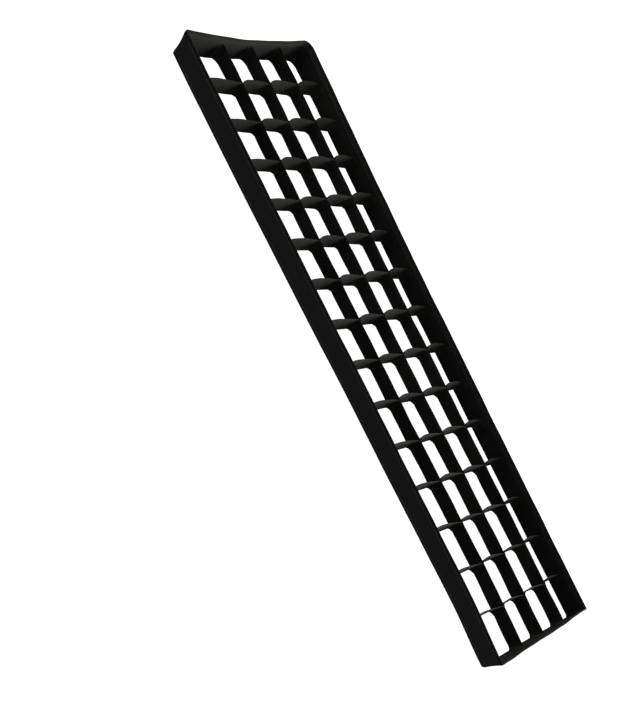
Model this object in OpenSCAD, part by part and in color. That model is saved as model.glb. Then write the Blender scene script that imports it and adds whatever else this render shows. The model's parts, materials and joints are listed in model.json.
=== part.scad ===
// Fabric honeycomb grid for a strip softbox.
// Four cloth walls form a rectangular frame. Three long strips and fourteen cross strips are
// half-lapped into rectangular cells and sewn to the walls by folded tabs, so the whole grid
// racks flat like a set of parallelograms.
// It lies with its back rim on the ground (z = 0) and its front rim up.
// X runs across the short side, Y along the long side, Z through the depth.

/* [Overall size] */
// Width across the short side
width = 400; // [240:10:600]
// Length along the long side
length = 1200; // [600:20:1800]
// Depth from back rim to front rim
depth = 44; // [40:1:70]

/* [Cells] */
// Number of cell rows along the length
rows = 15; // [15:1:15]
// First long strip, as a share of the width from the left
long_at_1 = 0.297; // [0.200:0.001:0.320]
// Second long strip, as a share of the width from the left
long_at_2 = 0.535; // [0.450:0.001:0.560]
// Third long strip, as a share of the width from the left
long_at_3 = 0.780; // [0.700:0.001:0.800]

/* [Strips] */
// Ribbon thickness
strip_t = 0.8; // [0.4:0.1:1.2]
// Ribbon height
strip_h = 27; // [20:1:27]
// Height of the ribbons above the back rim
strip_z = 4; // [0:0.5:4]
// Width of the half-lap slots, wide enough for the ribbons to turn in
slot_w = 6.4; // [4:0.2:10]
// Free space between the two slot bottoms of a half-lap
lap_gap = 0.3; // [0.2:0.1:1]

/* [Walls] */
// Wall cloth thickness
wall_t = 1.0; // [0.6:0.1:2]
// Hook tape thickness
tape_t = 1.0; // [0.6:0.1:2]
// Hook tape width
tape_w = 36; // [20:1:38]
// Height of the hook tape above the back rim
tape_z = 4; // [1:0.5:6]
// Thickness of the folded hem inside the front rim
hem_t = 0.8; // [0.4:0.1:1.2]
// Width of the folded hem
hem_w = 12; // [8:0.5:13]

/* [Seams] */
// Radius of the fold where a ribbon turns into its tab
fold_r = 1.1; // [0.8:0.1:2]
// Length of a sewn tab
tab_len = 14; // [10:1:20]
// Rounded corner of a tab
tab_r = 8; // [3:0.5:10]
// Bar tack width
tack_w = 1.6; // [1:0.1:3]
// Bar tack height
tack_h = 18; // [12:1:20]
// Bar tack thickness
tack_t = 0.5; // [0.3:0.1:0.6]
// Distance from the fold to the bar tack
tack_at = 6; // [5:0.5:10]

/* [Colours] */
// Wall cloth
c_wall = "#242424"; // color
// Ribbons
c_strip = "#1a1a1b"; // color
// Hook tape
c_tape = "#161616"; // color
// Hem
c_hem = "#2a2a2a"; // color
// Thread
c_thread = "#0e0e0e"; // color

/* [Hidden] */
$fn = 48;
half_w = width / 2;
half_l = length / 2;
skin = wall_t + tape_t;
pivot_x = half_w - skin - fold_r;
pivot_y = half_l - skin - fold_r;
seam_r = skin + fold_r;
clear_end = seam_r + 0.2;
strip_end = fold_r + 0.3;
pitch = length / rows;
strip_mid = strip_z + strip_h / 2;
long_share = [long_at_1, long_at_2, long_at_3];

function long_x(j) = -half_w + width * long_share[j - 1];
function cross_y(k) = half_l - pitch * k;

// A panel standing on the left (-1) or right (+1) side.
// It starts in_from inside the outer face and is thick mm thick.
module side_panel(side, in_from, thick, z0, high, end_y) {
    x_in = half_w - in_from - thick;
    translate([side > 0 ? x_in : -x_in - thick, -end_y, z0])
        cube([thick, 2 * end_y, high]);
}

// The same at the top (+1) or bottom (-1) end.
module end_panel(side, in_from, thick, z0, high, end_x) {
    y_in = half_l - in_from - thick;
    translate([-end_x, side > 0 ? y_in : -y_in - thick, z0])
        cube([2 * end_x, thick, high]);
}

module side_wall(side) {
    color(c_wall) side_panel(side, tape_t, wall_t, 0, depth, pivot_y);
}

module end_wall(side) {
    color(c_wall) end_panel(side, tape_t, wall_t, 0, depth, pivot_x - clear_end);
}

module side_hem(side) {
    color(c_hem) side_panel(side, skin, hem_t, depth - hem_w, hem_w, pivot_y - clear_end);
}

module end_hem(side) {
    color(c_hem) end_panel(side, skin, hem_t, depth - hem_w, hem_w, pivot_x - clear_end);
}

module side_tape(side) {
    color(c_tape) side_panel(side, 0, tape_t, tape_z, tape_w, pivot_y - clear_end);
}

module end_tape(side) {
    color(c_tape) end_panel(side, 0, tape_t, tape_z, tape_w, pivot_x - clear_end);
}

// One tab lying on y = -fold_r, its fold on the z axis. It points to -x when dir is -1,
// to +x when dir is 1, with a rounded corner at its back end.
module tab(dir) {
    cylinder(r = fold_r, h = strip_h);
    translate([dir > 0 ? 0 : -tab_len + tab_r, -fold_r, 0])
        cube([tab_len - tab_r, strip_t, strip_h]);
    translate([dir > 0 ? tab_len - tab_r : -tab_len, -fold_r, tab_r])
        cube([tab_r, strip_t, strip_h - tab_r]);
    translate([dir * (tab_len - tab_r), -fold_r + strip_t, tab_r])
        rotate([90, 0, 0]) cylinder(r = tab_r, h = strip_t);
}

module tack(dir) {
    translate([dir > 0 ? tack_at : -tack_at - tack_w, -fold_r + strip_t, (strip_h - tack_h) / 2 + 2])
        cube([tack_w, tack_t, tack_h]);
}

// Places one tab or tack at every cross strip on a side wall. Tabs point to the bottom.
module at_side(side) {
    for (k = [1 : rows - 1])
        translate([side * pivot_x, cross_y(k), strip_z]) rotate([0, 0, side * 90]) children();
}

// Places one tab or tack at every long strip on an end wall. Tabs point to the left.
module at_end(side) {
    for (j = [1 : 3])
        translate([long_x(j), side * pivot_y, strip_z])
            rotate([0, 0, side > 0 ? 180 : 0]) children();
}

module side_tabs(side) { color(c_strip) at_side(side) tab(-side); }
module end_tabs(side) { color(c_strip) at_end(side) tab(side); }
module side_tacks(side) { color(c_thread) at_side(side) tack(-side); }
module end_tacks(side) { color(c_thread) at_end(side) tack(side); }

// Bound corner seam: the end wall hinges on it, and the side wall's cloth is sewn into it.
module corner_seam(sx, sy) {
    color(c_wall) difference() {
        translate([sx * pivot_x, sy * pivot_y, 0]) cylinder(r = seam_r, h = depth);
        side_panel(sx, tape_t, wall_t, -1, depth + 2, pivot_y);
    }
}

// Ribbons running the length, slotted from the back.
module long_strip(j) {
    color(c_strip) difference() {
        translate([long_x(j) - strip_t / 2, -pivot_y + strip_end, strip_z])
            cube([strip_t, 2 * (pivot_y - strip_end), strip_h]);
        for (k = [1 : rows - 1])
            translate([long_x(j) - strip_t, cross_y(k) - slot_w / 2, strip_z - 1])
                cube([2 * strip_t, slot_w, strip_h / 2 + 1 + lap_gap / 2]);
    }
}

// Ribbons running across, slotted from the front.
module cross_strip(k) {
    color(c_strip) difference() {
        translate([-pivot_x + strip_end, cross_y(k) - strip_t / 2, strip_z])
            cube([2 * (pivot_x - strip_end), strip_t, strip_h]);
        for (j = [1 : 3])
            translate([long_x(j) - slot_w / 2, cross_y(k) - strip_t, strip_mid - lap_gap / 2])
                cube([slot_w, 2 * strip_t, strip_h / 2 + 1]);
    }
}

side_wall(-1);  // wall_left
side_wall(1);  // wall_right
end_wall(1);  // wall_top
end_wall(-1);  // wall_bottom
side_hem(-1);  // hem_left
side_hem(1);  // hem_right
end_hem(1);  // hem_top
end_hem(-1);  // hem_bottom
side_tape(-1);  // hook_tape_left
side_tape(1);  // hook_tape_right
end_tape(1);  // hook_tape_top
end_tape(-1);  // hook_tape_bottom
side_tabs(-1);  // tabs_left
side_tabs(1);  // tabs_right
end_tabs(1);  // tabs_top
end_tabs(-1);  // tabs_bottom
side_tacks(-1);  // tacks_left
side_tacks(1);  // tacks_right
end_tacks(1);  // tacks_top
end_tacks(-1);  // tacks_bottom
corner_seam(-1, 1);  // corner_seam_top_left
corner_seam(1, 1);  // corner_seam_top_right
corner_seam(-1, -1);  // corner_seam_bottom_left
corner_seam(1, -1);  // corner_seam_bottom_right
long_strip(1);  // long_strip_1
long_strip(2);  // long_strip_2
long_strip(3);  // long_strip_3
cross_strip(1);  // cross_strip_01
cross_strip(2);  // cross_strip_02
cross_strip(3);  // cross_strip_03
cross_strip(4);  // cross_strip_04
cross_strip(5);  // cross_strip_05
cross_strip(6);  // cross_strip_06
cross_strip(7);  // cross_strip_07
cross_strip(8);  // cross_strip_08
cross_strip(9);  // cross_strip_09
cross_strip(10);  // cross_strip_10
cross_strip(11);  // cross_strip_11
cross_strip(12);  // cross_strip_12
cross_strip(13);  // cross_strip_13
cross_strip(14);  // cross_strip_14
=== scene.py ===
"""Looks of the fabric honeycomb grid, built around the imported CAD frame.

Everything is in metres in the row frame: X across, Y along, Z from the back rim up to the front rim.
Each cloth piece is a surface of points, thickened into a closed mesh. It follows the CAD node that it
replaces, with the small bows, folds and curled ends of real cloth.
"""

import json
import math
import random

import bpy
import numpy as np
from mathutils import Matrix, Vector


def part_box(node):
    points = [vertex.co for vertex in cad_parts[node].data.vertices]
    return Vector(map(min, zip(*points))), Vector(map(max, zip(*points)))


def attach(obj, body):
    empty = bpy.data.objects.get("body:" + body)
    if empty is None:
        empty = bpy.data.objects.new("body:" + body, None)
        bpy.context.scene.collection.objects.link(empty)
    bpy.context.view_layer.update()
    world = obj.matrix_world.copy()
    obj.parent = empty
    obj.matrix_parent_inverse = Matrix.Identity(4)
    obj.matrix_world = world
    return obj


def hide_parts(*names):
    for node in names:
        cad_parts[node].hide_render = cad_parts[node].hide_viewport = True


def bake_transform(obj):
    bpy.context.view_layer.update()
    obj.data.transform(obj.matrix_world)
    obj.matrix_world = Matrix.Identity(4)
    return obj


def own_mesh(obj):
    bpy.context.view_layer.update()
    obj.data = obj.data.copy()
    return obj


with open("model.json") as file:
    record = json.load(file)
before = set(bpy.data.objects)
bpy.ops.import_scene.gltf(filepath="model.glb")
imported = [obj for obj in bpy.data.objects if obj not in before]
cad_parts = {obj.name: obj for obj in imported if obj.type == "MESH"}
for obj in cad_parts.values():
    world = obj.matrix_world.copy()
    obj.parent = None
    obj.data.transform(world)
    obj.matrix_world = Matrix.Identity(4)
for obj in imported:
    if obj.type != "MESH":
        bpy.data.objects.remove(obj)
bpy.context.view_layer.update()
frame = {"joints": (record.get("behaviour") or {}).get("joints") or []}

JOINTS = {j["name"]: j for j in frame["joints"]}

# ---------------------------------------------------------------- places, read from the CAD frame


def middle(node, axis):
    low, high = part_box(node)
    return (low[axis] + high[axis]) / 2


LONG = [f"long_strip_{j}" for j in (1, 2, 3)]
CROSS = [f"cross_strip_{k:02d}" for k in range(1, 15)]
LONG_X = [middle(n, 0) for n in LONG]
CROSS_Y = [middle(n, 1) for n in CROSS]
STRIP_BACK, STRIP_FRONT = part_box(CROSS[0])[0].z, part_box(CROSS[0])[1].z
STRIP_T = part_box(LONG[0])[1].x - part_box(LONG[0])[0].x
PIVOT_X = JOINTS["right_wall_seam"]["pos_m"][0]
PIVOT_Y = JOINTS["right_wall_seam"]["pos_m"][1]
WALL_X, WALL_Y = middle("wall_right", 0), middle("wall_top", 1)
WALL_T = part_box("wall_right")[1].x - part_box("wall_right")[0].x
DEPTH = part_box("wall_right")[1].z
TAPE_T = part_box("hook_tape_right")[1].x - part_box("hook_tape_right")[0].x
TAPE_BACK, TAPE_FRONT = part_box("hook_tape_right")[0].z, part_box("hook_tape_right")[1].z
HEM_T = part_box("hem_right")[1].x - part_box("hem_right")[0].x
HEM_BACK, HEM_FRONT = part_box("hem_right")[0].z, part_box("hem_right")[1].z
SEAM_R = (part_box("corner_seam_top_left")[1].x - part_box("corner_seam_top_left")[0].x) / 2
SIDE_END, END_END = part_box("hem_right")[1].y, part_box("hem_top")[1].x
INNER_X, INNER_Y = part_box("wall_right")[0].x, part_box("wall_top")[0].y

# ---------------------------------------------------------------- materials


class Nodes:
    """Short calls for building one material's nodes."""

    def __init__(self, name):
        self.material = bpy.data.materials.new(name)
        self.material.use_nodes = True
        self.tree = self.material.node_tree
        self.shader = self.tree.nodes["Principled BSDF"]

    def new(self, kind, inputs=(), **settings):
        node = self.tree.nodes.new("ShaderNode" + kind)
        for key, value in settings.items():
            setattr(node, key, value)
        for key, value in dict(inputs).items():
            self.put(node.inputs[key], value)
        return node

    def put(self, socket, value):
        if isinstance(value, bpy.types.NodeSocket):
            self.tree.links.new(value, socket)
        else:
            socket.default_value = value

    def math(self, operation, a, b=0.0):
        node = self.new("Math", operation=operation)
        self.put(node.inputs[0], a)
        self.put(node.inputs[1], b)
        return node.outputs[0]

    def ramp(self, value, low, high, to_low=0.0, to_high=1.0):
        return self.new(
            "MapRange",
            {"Value": value, "From Min": low, "From Max": high, "To Min": to_low, "To Max": to_high},
        ).outputs["Result"]

    def mix(self, factor, a, b):
        node = self.new("Mix", data_type="RGBA")
        self.put(node.inputs["Factor"], factor)
        self.put(node.inputs[6], a)
        self.put(node.inputs[7], b)
        return node.outputs[2]

    def bump(self, height, strength, distance, normal=None):
        node = self.new("Bump", {"Height": height, "Strength": strength, "Distance": distance})
        if normal is not None:
            self.put(node.inputs["Normal"], normal)
        return node.outputs["Normal"]


def cloth_material(name, dark, light, pitch, weave, crease, ribs=0.0):
    """Woven cloth. The weave follows the cloth's own lengthwise and crosswise position, in metres.
    pitch is the threads' spacing (along, across), weave and crease are the bumps' depths, and ribs
    is the spacing of darker rows along the cloth."""
    n = Nodes(name)
    place = n.new("Attribute", attribute_name="cloth_place").outputs["Vector"]
    split = n.new("SeparateXYZ", {"Vector": place}).outputs
    solid = n.new("TexCoord").outputs["Object"]
    warp = n.math("SINE", n.math("MULTIPLY", split[0], 2 * math.pi / pitch[0]))
    weft = n.math("SINE", n.math("MULTIPLY", split[1], 2 * math.pi / pitch[1]))
    threads = n.math("MULTIPLY", warp, weft)
    fibre = n.new("TexNoise", {"Vector": solid, "Scale": 1400.0, "Detail": 3.0}).outputs["Fac"]
    patches = n.new("TexNoise", {"Vector": solid, "Scale": 11.0, "Detail": 4.0}).outputs["Fac"]
    lint = n.new("TexNoise", {"Vector": solid, "Scale": 260.0, "Detail": 2.0}).outputs["Fac"]
    creases = n.new(
        "TexNoise", {"Vector": solid, "Scale": 26.0, "Detail": 3.0, "Distortion": 0.8}
    ).outputs["Fac"]
    tone = n.math("ADD", n.ramp(patches, 0.3, 0.7, 0.0, 0.6), n.ramp(fibre, 0.3, 0.7, 0.0, 0.4))
    if ribs:
        rib = n.math("SINE", n.math("MULTIPLY", split[1], 2 * math.pi / ribs))
        rib = n.ramp(rib, -0.5, 0.5, 0.35, 1.0)
        tone = n.math("MULTIPLY", rib, n.ramp(tone, 0.0, 1.0, 0.5, 1.0))
    body = n.mix(tone, (*dark, 1), (*light, 1))
    pale = tuple(c * 2.2 for c in light)
    colour = n.mix(n.ramp(lint, 0.66, 0.8, 0.0, 0.35), body, (*pale, 1))
    n.put(n.shader.inputs["Base Color"], colour)
    n.put(n.shader.inputs["Roughness"], n.ramp(fibre, 0.3, 0.7, 0.8, 0.95))
    n.shader.inputs["Specular IOR Level"].default_value = 0.01
    n.shader.inputs["Sheen Weight"].default_value = 0.001
    n.shader.inputs["Sheen Roughness"].default_value = 0.55
    n.shader.inputs["Sheen Tint"].default_value = (0.9, 0.88, 0.85, 1)
    folded = n.bump(creases, 0.55, crease)
    woven = n.bump(threads, 0.5, weave, folded)
    n.put(n.shader.inputs["Normal"], n.bump(fibre, 0.35, 0.0002, woven))
    return n.material


def tape_material(name, dark, light):
    """Hook tape: close rows of tiny hooks on a ribbed ground."""
    n = Nodes(name)
    place = n.new("Attribute", attribute_name="cloth_place").outputs["Vector"]
    hooks = n.new("TexVoronoi", {"Vector": place, "Scale": 620.0, "Randomness": 0.55}).outputs["Distance"]
    solid = n.new("TexCoord").outputs["Object"]
    fuzz = n.new("TexNoise", {"Vector": solid, "Scale": 900.0, "Detail": 4.0}).outputs["Fac"]
    patches = n.new("TexNoise", {"Vector": solid, "Scale": 9.0, "Detail": 3.0}).outputs["Fac"]
    tone = n.math("MULTIPLY", n.ramp(hooks, 0.0, 0.7, 1.0, 0.25), n.ramp(patches, 0.3, 0.7, 0.75, 1.0))
    n.put(n.shader.inputs["Base Color"], n.mix(tone, (*dark, 1), (*light, 1)))
    n.put(n.shader.inputs["Roughness"], n.ramp(fuzz, 0.3, 0.7, 0.75, 0.95))
    n.shader.inputs["Specular IOR Level"].default_value = 0.01
    n.shader.inputs["Sheen Weight"].default_value = 0.002
    n.shader.inputs["Sheen Roughness"].default_value = 0.6
    n.put(n.shader.inputs["Normal"], n.bump(fuzz, 0.5, 0.0004, n.bump(hooks, 0.7, 0.0006)))
    return n.material


def thread_material(name, colour):
    """Twisted polyester thread, a little glossier than the cloth."""
    n = Nodes(name)
    solid = n.new("TexCoord").outputs["Object"]
    twist = n.new("TexWave", {"Vector": solid, "Scale": 900.0, "Distortion": 1.5}).outputs["Fac"]
    pale = tuple(c * 1.8 for c in colour)
    n.put(n.shader.inputs["Base Color"], n.mix(twist, (*colour, 1), (*pale, 1)))
    n.put(n.shader.inputs["Roughness"], n.ramp(twist, 0, 1, 0.45, 0.65))
    n.shader.inputs["Specular IOR Level"].default_value = 0.10
    n.put(n.shader.inputs["Normal"], n.bump(twist, 0.4, 0.0002))
    return n.material


WALL = cloth_material(
    "frame_cloth", (0.0017, 0.0017, 0.0016), (0.0032, 0.0031, 0.0029),
    pitch=(0.0011, 0.0011), weave=0.00035, crease=0.0012,
)
RIBBON = cloth_material(
    "strip_ribbon", (0.0016, 0.0016, 0.0015), (0.0054, 0.0052, 0.0047),
    pitch=(0.0010, 0.0017), weave=0.00040, crease=0.0016,
)
HEM = cloth_material(
    "hem_tape", (0.0018, 0.0017, 0.0015), (0.0068, 0.0065, 0.0057),
    pitch=(0.0011, 0.0024), weave=0.00045, crease=0.0006, ribs=0.0031,
)
TAPE = tape_material("hook_tape", (0.0025, 0.0025, 0.0024), (0.0050, 0.0049, 0.0048))
THREAD = thread_material("thread", (0.0075, 0.0074, 0.0070))

# ---------------------------------------------------------------- mesh making


def smooth(t):
    t = np.clip(t, 0, 1)
    return t * t * (3 - 2 * t)


SAG = 0.010  # how far the bottom left corner has slipped sideways
FLARE = 0.011  # how far the walls' front rims lean outwards at the corners
SPREAD = 0.012  # how far the left wall's back edge stands out at the top
TUCK = 0.007  # how far the top wall's back edge is tucked in
DIP = 0.004  # how far the top wall's back edge hangs down


def settle(points):
    """The soft frame isn't held flat or square. Two opposite corners lift and it is twisted a little
    end to end, the walls lean outwards towards their front rims, most at the corners but not at the
    bottom right, and the last cells at the bottom left have slipped to the left. At the top the left
    wall's back edge stands out, and the top wall's back edge is tucked in and hangs a little."""
    p = np.array(points, float)
    x, y, h = p[..., 0] / 0.2, p[..., 1] / 0.6, np.clip(p[..., 2] / DEPTH, 0, 1.1)
    lean = FLARE * h**1.4 * (1 - smooth(x) * smooth(-y))
    low = 1 - np.clip(h, 0, 1)
    spread = SPREAD * low * smooth((-x - 0.4) / 0.6) * smooth((y + 0.3) / 1.3)
    tuck = low * smooth((y - 0.8) / 0.2) * smooth((x + 1) / 0.6)
    slip = SAG * smooth((-y - 0.79) / 0.21) * (1 - np.clip((x + 1) / 2, 0, 1))
    top_right, top_left = smooth(x) * smooth(y), smooth(-x) * smooth(y)
    p[..., 0] += lean * x * np.abs(x) ** 3 * (0.55 + 0.45 * y**2) * (1 + 0.35 * top_right) - slip - spread
    p[..., 1] += lean * y * y**8 * (0.80 + 0.20 * x**2) * (1 + 0.90 * top_left) - TUCK * tuck
    p[..., 2] += 0.0045 * y**2 + 0.0055 * x * y + 0.0007 * y**3 - DIP * tuck
    return p


def cloth(name, grid, thickness, material, seed=0.0, rims=(0.5, 0.5)):
    """A closed thin mesh on a grid of points (rows along the cloth, columns across it)."""
    grid = settle(grid)
    rows, cols = grid.shape[:2]
    along, across = np.gradient(grid, axis=0), np.gradient(grid, axis=1)
    normal = np.cross(along, across)
    normal /= np.maximum(np.linalg.norm(normal, axis=2, keepdims=True), 1e-12)
    half = np.full((rows, cols, 1), thickness / 2)
    half[:, 0] *= rims[0]
    half[:, -1] *= rims[1]
    step_along = np.linalg.norm(np.diff(grid, axis=0), axis=2).mean(axis=1)
    step_across = np.linalg.norm(np.diff(grid, axis=1), axis=2).mean(axis=0)
    s = np.concatenate([[0], np.cumsum(step_along)])
    v = np.concatenate([[0], np.cumsum(step_across)])
    place = np.stack(np.meshgrid(s, v, indexing="ij") + [np.full((rows, cols), seed)], axis=2)
    front, back = grid + normal * half, grid - normal * half
    points = np.concatenate([front.reshape(-1, 3), back.reshape(-1, 3)])
    count = rows * cols
    faces = []
    for i in range(rows - 1):
        for j in range(cols - 1):
            a, b = i * cols + j, (i + 1) * cols + j
            faces.append((a, b, b + 1, a + 1))
            faces.append((count + a, count + a + 1, count + b + 1, count + b))
        for j, turn in ((0, True), (cols - 1, False)):
            a, b = i * cols + j, (i + 1) * cols + j
            rim = (a, count + a, count + b, b)
            faces.append(rim if turn else rim[::-1])
    for i, turn in ((0, False), (rows - 1, True)):
        for j in range(cols - 1):
            a = i * cols + j
            rim = (a, count + a, count + a + 1, a + 1)
            faces.append(rim if turn else rim[::-1])
    return finish_mesh(name, points, faces, material, np.concatenate([place.reshape(-1, 3)] * 2))


def finish_mesh(name, points, faces, material, place=None):
    mesh = bpy.data.meshes.new(name)
    mesh.from_pydata([tuple(p) for p in points], [], faces)
    mesh.materials.append(material)
    if place is not None:
        attribute = mesh.attributes.new("cloth_place", "FLOAT_VECTOR", "POINT")
        attribute.data.foreach_set("vector", np.asarray(place, np.float32).ravel())
    mesh.validate()
    obj = bpy.data.objects.new(name, mesh)
    bpy.context.scene.collection.objects.link(obj)
    for polygon in mesh.polygons:
        polygon.use_smooth = True
    mesh.set_sharp_from_angle(angle=math.radians(62))
    return obj


def join(name, objects):
    """One object out of several."""
    for o in bpy.context.selected_objects:
        o.select_set(False)
    for o in objects:
        o.select_set(True)
    bpy.context.view_layer.objects.active = objects[0]
    bpy.ops.object.join()
    objects[0].name = name
    objects[0].data.name = name
    return objects[0]


def arc(centre, radius, start, end, count=10):
    angles = np.radians(np.linspace(start, end, count))
    return [(centre[0] + radius * math.cos(a), centre[1] + radius * math.sin(a)) for a in angles]


def wave(seed, *lengths):
    """A smooth wobble made of a few sines with seeded phases, about -1 to 1."""
    rng = random.Random(seed)
    parts = [(2 * math.pi / length, rng.uniform(0, 2 * math.pi)) for length in lengths]
    return lambda x: sum(np.sin(np.asarray(x) * k + p) for k, p in parts) / len(parts)


def window(t, edge):
    """0 at both ends of 0..1 and 1 in the middle, with smooth shoulders of that width."""
    t = np.clip(np.minimum(t, 1 - t) / edge, 0, 1)
    return t * t * (3 - 2 * t)


# ---------------------------------------------------------------- walls

# Each wall is drawn in its own flat coordinates (place along it, height) and bent by its own bow.
# Bows are positive inwards: (at the back rim, at the front rim).
SIDES = {
    "left": dict(normal=(1, 0), mid=WALL_X, end=SIDE_END, bow=(0.0, 0.0015), ripple=0.0010, seed=11),
    "right": dict(normal=(-1, 0), mid=WALL_X, end=SIDE_END, bow=(0.001, 0.0), ripple=0.0012, seed=23),
    "top": dict(normal=(0, -1), mid=WALL_Y, end=END_END, bow=(0.0, 0.0035), ripple=0.0008, seed=37),
    "bottom": dict(normal=(0, 1), mid=WALL_Y, end=END_END, bow=(0.001, 0.0015), ripple=0.0008, seed=41),
}
# The side each corner is on in X and in Y, and the radius of its bend.
CORNERS = {"top_left": (-1, 1, 0.0042), "bottom_left": (-1, -1, 0.0042), "top_right": (1, 1, 0.0190)}
REACH = 0.022  # how much of each wall a corner piece takes in beyond its bend
for side, w in SIDES.items():
    w["body"] = f"{side}_wall"
    w["slow"] = wave(w["seed"], 0.41, 0.27)
    w["quick"] = wave(w["seed"] + 1, 0.083, 0.131)


def inward(side, along, z):
    """How far the wall's cloth stands inwards of its flat place."""
    w = SIDES[side]
    t = (np.asarray(along) / w["end"] + 1) / 2
    h = np.asarray(z) / DEPTH
    bow = (w["bow"][0] * (1 - h) + w["bow"][1] * h) * np.sin(np.pi * np.clip(t, 0, 1)) ** 0.7
    shape = w["slow"](along) * 0.7 + w["quick"](along) * (0.35 + 0.65 * h) * 0.5
    return bow + w["ripple"] * shape * window(t, 0.08)


def on_wall(side, along, offset, z):
    """Point on a wall: along it, offset inwards from the middle of its cloth, and height."""
    w = SIDES[side]
    nx, ny = w["normal"]
    away = -w["mid"] + offset + inward(side, along, z)
    return (along * abs(ny) + nx * away, along * abs(nx) + ny * away, z)


def wall_span(side):
    """Start and end along a wall: up to the bends at its ends, or into the bead at the last corner."""
    sideways = side in ("left", "right")
    limits = []
    for sign in (-1, 1):
        sx, sy = ({"left": -1, "right": 1}[side], sign) if sideways else (sign, {"top": 1, "bottom": -1}[side])
        radius = next((r for cx, cy, r in CORNERS.values() if (cx, cy) == (sx, sy)), None)
        far = WALL_Y if sideways else WALL_X
        end = SIDE_END if sideways else END_END
        limits.append(sign * (end + 0.0010 if radius is None else far - radius - REACH))
    return tuple(limits)


def long_x(j, y):
    """Middle of a long ribbon in plan, at the height of its middle."""
    t = (np.asarray(y) + PIVOT_Y) / (2 * PIVOT_Y)
    return LONG_X[j] + 0.0014 * LONG_WAVES[j](y) * window(t, 0.05)


LONG_WAVES = [wave(71 + j, 0.34, 0.19, 0.52) for j in range(3)]


def wall_profile():
    """The wall's section, its front edge rolled inwards over the hem and its back edge turned in."""
    roll = 0.0008
    profile = [(1.6 * roll, 0.0030), (1.6 * roll, 0.0012), (roll, 0.0005)]
    profile += [(0.0, z) for z in np.linspace(0.0012, DEPTH - roll - 0.0004, 12)]
    for a in (0.5, 1.1, 1.7, 2.4, 3.1):
        profile.append((roll - roll * math.cos(a), DEPTH - roll - 0.0002 + roll * math.sin(a)))
    return profile + [(2 * roll, DEPTH - roll - 0.0028)]


def wall_layer(name, side, profile, thickness, material, span, step=0.005):
    s = np.linspace(span[0], span[1], int((span[1] - span[0]) / step) + 1)
    grid = [[on_wall(side, a, o, z) for o, z in profile] for a in s]
    return cloth(name, grid, thickness, material, SIDES[side]["seed"] * 0.1)


def corner_layer(name, corner, profile, thickness, material):
    """One bend of the wall's cloth, hem or tape round a corner, from the side wall to the end wall."""
    sx, sy, radius = CORNERS[corner]
    side, end = ("left" if sx < 0 else "right"), ("bottom" if sy < 0 else "top")
    cx, cy = sx * (WALL_X - radius), sy * (WALL_Y - radius)
    grid = []
    for t in np.linspace(0, 1, 8)[:-1]:
        grid.append([on_wall(side, cy - sy * REACH * (1 - t), o, z) for o, z in profile])
    for a in np.radians(np.linspace(0, 90, 8 + int(radius * 700))):
        ax, ay = sx * math.cos(a), sy * math.sin(a)
        grid.append([(cx + (radius - o) * ax, cy + (radius - o) * ay, z) for o, z in profile])
    for t in np.linspace(0, 1, 8)[1:]:
        grid.append([on_wall(end, cx - sx * REACH * t, o, z) for o, z in profile])
    return cloth(name, grid, thickness, material, 9.1)


# One stitch's sections along its run: (share of the run, lift, width).
STITCH = ((0.0, -0.3, 0.5), (0.18, 0.7, 1.0), (0.5, 1.0, 1.1), (0.82, 0.7, 1.0), (1.0, -0.3, 0.5))
# Each section's points: (sideways, raised).
SECTION = ((-1, 0.0), (-0.6, 0.8), (0.6, 0.8), (1, 0.0))


def stitches(name, lines, width=0.0007, height=0.0004):
    """Rows of short thread bumps. Each line is a list of (start, end, outward) in metres."""
    points, faces = [], []
    for start, end, out in lines:
        start, end = (Vector(p) for p in settle([start, end]))
        out = Vector(out)
        run = end - start
        side = run.cross(out).normalized() * width / 2
        base = len(points)
        for t, lift, wide in STITCH:
            centre = start + run * t
            for x, y in SECTION:
                points.append(centre + side * x * wide + out * (height * lift * (0.45 + 0.55 * y)))
        for i in range(4):
            for j in range(3):
                a = base + i * 4 + j
                faces.append((a, a + 1, a + 5, a + 4))
            faces.append((base + i * 4 + 3, base + i * 4, base + i * 4 + 4, base + i * 4 + 7))
        faces.append((base + 3, base + 2, base + 1, base))
        faces.append((base + 16, base + 17, base + 18, base + 19))
    return finish_mesh(name, points, faces, THREAD)


def stitch_row(side, span, offset, z, pitch=0.0042, out=1.0):
    """Stitches along a wall at one height. out is 1 on the inner face and -1 on the outer."""
    w = SIDES[side]
    facing = (w["normal"][0] * out, w["normal"][1] * out, 0)
    made, a = [], span[0] + 0.002
    while a + pitch < span[1]:
        made.append((on_wall(side, a, offset, z), on_wall(side, a + pitch * 0.74, offset, z), facing))
        a += pitch
    return made


def dress(piece, body, slot, *nodes):
    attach(piece, body)
    if nodes:
        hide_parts(*nodes)
    return piece


HEM_OFF = WALL_T / 2 + HEM_T / 2 + 0.0001


def hem_profile():
    """The hem tape's section, woven with three ribs along its length."""
    high = HEM_FRONT - HEM_BACK - 0.0022
    rib = 0.00026
    return [
        (HEM_OFF + rib * (1 - math.cos(6 * math.pi * t)), HEM_BACK + high * t) for t in np.linspace(0, 1, 31)
    ]


TAPE_OFF = -(WALL_T / 2 + TAPE_T / 2)
TAPE_RISE = np.array([0, 0.02, 0.12, 0.26, 0.4, 0.55, 0.7, 0.85, 0.98, 1.0])
tape_profile = [(TAPE_OFF, TAPE_BACK + (TAPE_FRONT - TAPE_BACK) * t) for t in TAPE_RISE]
LAYERS = {
    "cloth": (wall_profile(), WALL_T * 0.9, WALL, "frame_cloth"),
    "hem": (hem_profile(), HEM_T * 0.8, HEM, "hem_tape"),
    "tape": (tape_profile, TAPE_T, TAPE, "hook_tape"),
}
NODE_OF = {"cloth": "wall", "hem": "hem", "tape": "hook_tape"}

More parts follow.
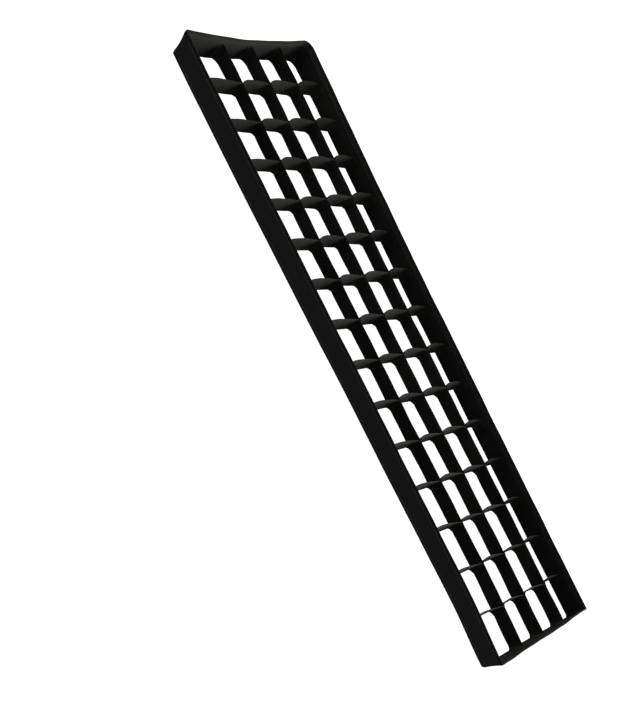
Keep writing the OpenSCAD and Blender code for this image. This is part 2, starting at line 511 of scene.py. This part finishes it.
for side, w in SIDES.items():
    span = wall_span(side)
    for layer, (profile, thick, material, finish) in LAYERS.items():
        piece = wall_layer(f"{NODE_OF[layer]}_{side}_{layer}", side, profile, thick, material, span)
        dress(piece, w["body"], finish, f"{NODE_OF[layer]}_{side}")
    sewn = (span[0] - REACH * 0.5, span[1] + REACH * 0.5)
    rows = []
    for z in (HEM_BACK + 0.0016, HEM_BACK + 0.0086):
        rows += stitch_row(side, sewn, HEM_OFF + HEM_T / 2, z)
    for z in (TAPE_BACK + 0.0018, TAPE_FRONT - 0.0018):
        rows += stitch_row(side, sewn, TAPE_OFF - TAPE_T / 2, z, out=-1)
    dress(stitches(f"stitches_{side}", rows), w["body"], "thread")

# Three corners are soft bends of the cloth, hem and tape between two walls that turn on each other.
for corner, (sx, sy, radius) in CORNERS.items():
    side, end = ("left" if sx < 0 else "right"), ("bottom" if sy < 0 else "top")
    for layer, (profile, thick, material, finish) in LAYERS.items():
        piece = corner_layer(f"corner_{corner}_{layer}", corner, profile, thick, material)
        if layer == "cloth":
            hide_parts(f"corner_seam_{corner}")
        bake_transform(piece)

# The fourth corner is a bound bead that the walls butt against.


def bead(name, x, y, turn):
    """Upright rolled bead with a flat binding seam and a little unevenness."""
    wobble = wave(123, 0.021, 0.034)
    rim = np.array([0.0, 0.0006, 0.002])
    heights = np.concatenate([rim, np.linspace(0.004, DEPTH - 0.004, 16), DEPTH - rim[::-1]])
    points, faces, place = [], [], []
    around = 28
    for z in heights:
        near = min(z, DEPTH - z)
        r = SEAM_R * (0.80 + 0.2 * min(1, near / 0.0015) ** 0.5) - 0.0001 + 0.00015 * float(wobble(z))
        for i in range(around):
            a = 2 * math.pi * i / around
            ridge = 0.00018 * max(0.0, math.cos(a - math.radians(turn))) ** 24
            points.append((x + (r + ridge) * math.cos(a), y + (r + ridge) * math.sin(a), z))
            place.append((z, a * SEAM_R, 3.3))
    for i in range(len(heights) - 1):
        for j in range(around):
            a, b = i * around + j, i * around + (j + 1) % around
            faces.append((a, b, b + around, a + around))
    faces.append(tuple(reversed(range(around))))
    top = (len(heights) - 1) * around
    faces.append(tuple(range(top, top + around)))
    return finish_mesh(name, settle(points), faces, WALL, place)


last_corner = bead("corner_bottom_right_bead", PIVOT_X, -PIVOT_Y, -45)
dress(last_corner, "right_wall", "frame_cloth", "corner_seam_bottom_right")

# ---------------------------------------------------------------- ribbons

STEP = 0.0026  # spacing of points along a cross ribbon
TAB = 0.0135  # length of the sewn end on a wall
RISE = np.array([0, 0.02, 0.1, 0.22, 0.36, 0.5, 0.64, 0.78, 0.9, 0.98, 1.0])


def between(back, front, low, high):
    """Grid of points from a plan line at the back edge to a plan line at the front edge."""
    back, front = np.asarray(back), np.asarray(front)
    count = len(back)
    low, high = np.broadcast_to(low, count), np.broadcast_to(high, count)
    grid = np.zeros((count, len(RISE), 3))
    for i, h in enumerate(RISE):
        grid[:, i, :2] = back * (1 - h) + front * h
        grid[:, i, 2] = low * (1 - h) + high * h
    return grid


def plan_line(points, count):
    """The same number of evenly spaced points on any plan line."""
    points = np.asarray(points, float)
    length = np.concatenate([[0], np.cumsum(np.linalg.norm(np.diff(points, axis=0), axis=1))])
    at = np.linspace(0, length[-1], count)
    return np.stack([np.interp(at, length, points[:, i]) for i in (0, 1)], axis=1)


def cell_ribbon(name, left, right, y, seed):
    """One cross ribbon in one cell. Both ends curl towards the bottom wall and lie flat against what
    they are sewn to. left(y) and right(y) give those faces."""
    rng = random.Random(seed)
    skew = rng.uniform(0.28, 0.38)
    lean = 0.0036 + 0.0014 * float(smooth((y + 0.5) / 0.4)) + rng.uniform(-0.0008, 0.0008)
    sweep = float(smooth((y + 0.35) / 0.6))
    lines = []
    for back in (True, False):
        r_left = 0.0050 if back else 0.0035
        r_right = (0.0135 - 0.0035 * sweep if back else 0.0085) * rng.uniform(0.9, 1.12)
        tab = (0.0170 if back else 0.0135) * rng.uniform(0.95, 1.05)
        bow = (0.0012 - 0.4 * lean if back else 0.0030 + 0.6 * lean) + rng.uniform(-0.0006, 0.0006)
        xa, xb = left(y) + STRIP_T / 2, right(y) - STRIP_T / 2
        drop = 0.0012 + 0.0070 * sweep if back else 0.0012
        pts = [(left(y - tab) + STRIP_T / 2, y - tab)]
        pts += arc((xa + r_left, y - r_left), r_left, 180, 92, 8)
        for t in np.linspace(0.04, 0.96, 16):
            x = (xa + r_left) * (1 - t) + (xb - r_right) * t
            hump = math.sin(math.pi * t ** (math.log(0.5) / math.log(skew)))
            pts.append((x, y + bow * hump - drop * t))
        pts += arc((xb - r_right, y - drop - r_right), r_right, 88, 0, 9)
        pts.append((right(y - tab) - STRIP_T / 2, y - tab))
        lines.append(pts)
    count = int((right(y) - left(y) + 0.03) / STEP)
    back, front = plan_line(lines[0], count), plan_line(lines[1], count)
    t = np.linspace(0, 1, count)
    edge = 1 - window(t, 0.10)
    high = STRIP_FRONT + 0.0006 * (1 - edge) * np.sin(np.pi * t) - 0.0030 * edge**2
    high += 0.0003 * wave(seed, 0.4, 0.23)(t)
    low = STRIP_BACK + 0.0022 * edge**2 + 0.0003 * wave(seed + 1, 0.5, 0.31)(t)
    return cloth(name, between(back, front, low, high), STRIP_T, RIBBON, seed * 0.01)


def wall_face(side):
    """Inner face of a side wall at the height of the ribbons."""
    sign = SIDES[side]["normal"][0]
    z = (STRIP_BACK + STRIP_FRONT) / 2
    return lambda y: -sign * (INNER_X - float(inward(side, y, z)))


def ribbon_face(j, sign):
    return lambda y: float(long_x(j, y)) + sign * STRIP_T / 2


# The faces that each column's cells are sewn to, from the left.
LEFT_FACES = [wall_face("left")] + [ribbon_face(j, 1) for j in range(3)]
RIGHT_FACES = [ribbon_face(j, -1) for j in range(3)] + [wall_face("right")]
for k, y in enumerate(CROSS_Y, 1):
    parts = []
    for c, (left, right) in enumerate(zip(LEFT_FACES, RIGHT_FACES)):
        parts.append(cell_ribbon(f"cell_{k}_{c}", left, right, y, 100 * k + c))
    ribbon = join(f"cross_ribbon_{k:02d}_cloth", parts)
    dress(ribbon, f"cross_ribbon_{k:02d}", "strip_ribbon", CROSS[k - 1])
    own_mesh(ribbon)


def long_ribbon(j):
    """A ribbon along the length. Its ends curl to the left in a cone, wide at the back edge and
    narrow at the front edge, and lie on the end walls."""
    lines = []
    for back in (True, False):
        r_top, r_bottom = (0.0190, 0.0100) if back else (0.0045, 0.0045)
        tab = 0.0230 if back else 0.0120
        top = INNER_Y - STRIP_T / 2 - float(inward("top", LONG_X[j], 0.018)) - 0.0002
        bottom = -INNER_Y + STRIP_T / 2 + float(inward("bottom", LONG_X[j], 0.018)) + 0.0002
        x = LONG_X[j]
        pts = [(x - 0.013, bottom)]
        pts += arc((x - r_bottom, bottom + r_bottom), r_bottom, 272, 360, 10)
        ys = np.linspace(bottom + r_bottom + 0.004, top - r_top - 0.004, 220)
        pts += [(float(long_x(j, v)), float(v)) for v in ys]
        pts += arc((x - r_top, top - r_top), r_top, 0, 88, 12)
        pts.append((x - tab, top))
        lines.append(pts)
    count = int(2 * PIVOT_Y / 0.004)
    back, front = resample_same(lines, count)
    t = np.linspace(0, 1, count)
    end = 1 - window(t, 0.016)
    high = STRIP_FRONT + 0.0004 * wave(300 + j, 0.09, 0.05)(t) - 0.0040 * end**2
    low = STRIP_BACK + 0.0004 * wave(310 + j, 0.08, 0.06)(t)
    return cloth(f"long_ribbon_{j + 1}_cloth", between(back, front, low, high), STRIP_T, RIBBON, 5.0 + j)


def resample_same(lines, count):
    """Matches two plan lines at equal shares of the run, with more points near the ends."""
    t = np.linspace(0, 1, count)
    dense = t - 0.055 * np.sin(2 * np.pi * t) / (2 * np.pi)
    out = []
    for points in lines:
        points = np.asarray(points, float)
        length = np.concatenate([[0], np.cumsum(np.linalg.norm(np.diff(points, axis=0), axis=1))])
        out.append(np.stack([np.interp(dense * length[-1], length, points[:, i]) for i in (0, 1)], axis=1))
    return out


for j in range(3):
    ribbon = long_ribbon(j)
    dress(ribbon, f"long_ribbon_{j + 1}", "strip_ribbon", LONG[j])
    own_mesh(ribbon)

# ---------------------------------------------------------------- tabs and bar tacks on the walls


def tab_patch(name, side, at):
    """The sewn end of a ribbon, flat on the wall, with a rounded back corner and a heat-cut edge."""
    grid = []
    for t in np.linspace(0, 1, 9):
        low = STRIP_BACK + 0.0075 * (1 - math.sqrt(max(0.0, 1 - max(0.0, (t - 0.42) / 0.58) ** 2)))
        high = STRIP_FRONT - 0.0010 - 0.0030 * max(0.0, (t - 0.6) / 0.4) ** 2
        a = at - 0.0006 - TAB * t
        grid.append([on_wall(side, a, WALL_T / 2 + STRIP_T / 2, low + (high - low) * h) for h in RISE])
    return cloth(name, grid, STRIP_T, RIBBON, at)


def bar_tack(side, at, offset):
    """A close zigzag of thread up the tab."""
    facing = (*SIDES[side]["normal"], 0)
    rise, reach = 0.0009, 0.0008
    made, z, flip = [], STRIP_BACK + 0.0055, 1
    while z < STRIP_FRONT - 0.0060:
        a, b = at - reach * flip, at + reach * flip
        made.append((on_wall(side, a, offset, z), on_wall(side, b, offset, z + rise), facing))
        z, flip = z + rise, -flip
    return made


for side, w in SIDES.items():
    places = CROSS_Y if side in ("left", "right") else LONG_X
    patches = [tab_patch(f"patch_{side}_{i}", side, at) for i, at in enumerate(places)]
    tabs = join(f"tabs_{side}_cloth", patches)
    dress(tabs, w["body"], "strip_ribbon", f"tabs_{side}")
    rows = []
    for at in places:
        rows += bar_tack(side, at - 0.0078, WALL_T / 2 + STRIP_T + 0.0002)
    tacks = stitches(f"tacks_{side}_thread", rows, width=0.0006, height=0.00035)
    dress(tacks, w["body"], "thread", f"tacks_{side}")

# ---------------------------------------------------------------- floor, light and camera


def white(name, albedo, glow):
    """Plain matte white that also shines by itself, like lit paper."""
    n = Nodes(name)
    n.shader.inputs["Emission Color"].default_value = (1, 1, 1, 1)
    n.shader.inputs["Emission Strength"].default_value = glow
    n.shader.inputs["Base Color"].default_value = (albedo, albedo, albedo, 1)
    n.shader.inputs["Roughness"].default_value = 1.0
    n.shader.inputs["Specular IOR Level"].default_value = 0.0
    return n.material


floor_mesh = bpy.data.meshes.new("floor")
floor_mesh.from_pydata([(-30, -30, 0), (30, -30, 0), (30, 30, 0), (-30, 30, 0)], [], [(0, 1, 2, 3)])
floor_mesh.materials.append(white("floor", albedo=0.06, glow=1.0))
floor = bpy.data.objects.new("floor", floor_mesh)
floor.location.z = -0.0022
bpy.context.scene.collection.objects.link(floor)

world = bpy.data.worlds.new("studio")
world.use_nodes = True
world.node_tree.nodes["Background"].inputs["Color"].default_value = (1, 1, 1, 1)
world.node_tree.nodes["Background"].inputs["Strength"].default_value = 1.0
bpy.context.scene.world = world


def away(azimuth, elevation):
    """Unit vector from the object. Azimuth 0 is in front (-Y), 90 on the right (+X)."""
    a, e = math.radians(azimuth), math.radians(elevation)
    return Vector((math.sin(a) * math.cos(e), -math.cos(a) * math.cos(e), math.sin(e)))


def softbox(name, azimuth, elevation, distance, size, power):
    """A square soft light that faces the object's middle."""
    light = bpy.data.lights.new(name, "AREA")
    light.shape, light.size, light.energy = "SQUARE", size, power
    o = bpy.data.objects.new(name, light)
    back = away(azimuth, elevation)
    o.location = back * distance
    o.rotation_mode = "QUATERNION"
    o.rotation_quaternion = back.to_track_quat("Z", "Y")
    bpy.context.scene.collection.objects.link(o)


softbox("key", 55, 14, 4.0, 2.3, 1750)
softbox("fill_left", -92, 3, 4.5, 0.5, 130)
softbox("top", 0, 88, 5.0, 1.6, 50)
softbox("back", 175, 35, 4.5, 2.5, 600)

# The camera looks along the grid from its left side, rolled so that the grid stands on its corner.
TARGET = Vector((-0.2634, -0.0177, DEPTH / 2))
AZIMUTH, ELEVATION, ROLL, DISTANCE = -80.89, 28.38, 59.41, 3.274
LENS = 96.9  # focal length in millimetres, on a sensor 36 mm long

back = away(AZIMUTH, ELEVATION)
turn = back.to_track_quat("Z", "Y") @ Matrix.Rotation(math.radians(ROLL), 3, "Z").to_quaternion()
camera_data = bpy.data.cameras.new("camera")
camera_data.sensor_width = 36
camera_data.lens = LENS
camera_data.clip_start, camera_data.clip_end = 0.05, 100
camera = bpy.data.objects.new("camera", camera_data)
camera.rotation_mode = "QUATERNION"
camera.location = TARGET + back * DISTANCE
camera.rotation_quaternion = turn
bpy.context.scene.collection.objects.link(camera)
bpy.context.scene.camera = camera

scene = bpy.context.scene
scene.view_settings.view_transform = "Standard"
scene.view_settings.look = "None"
scene.view_settings.exposure = 0.0
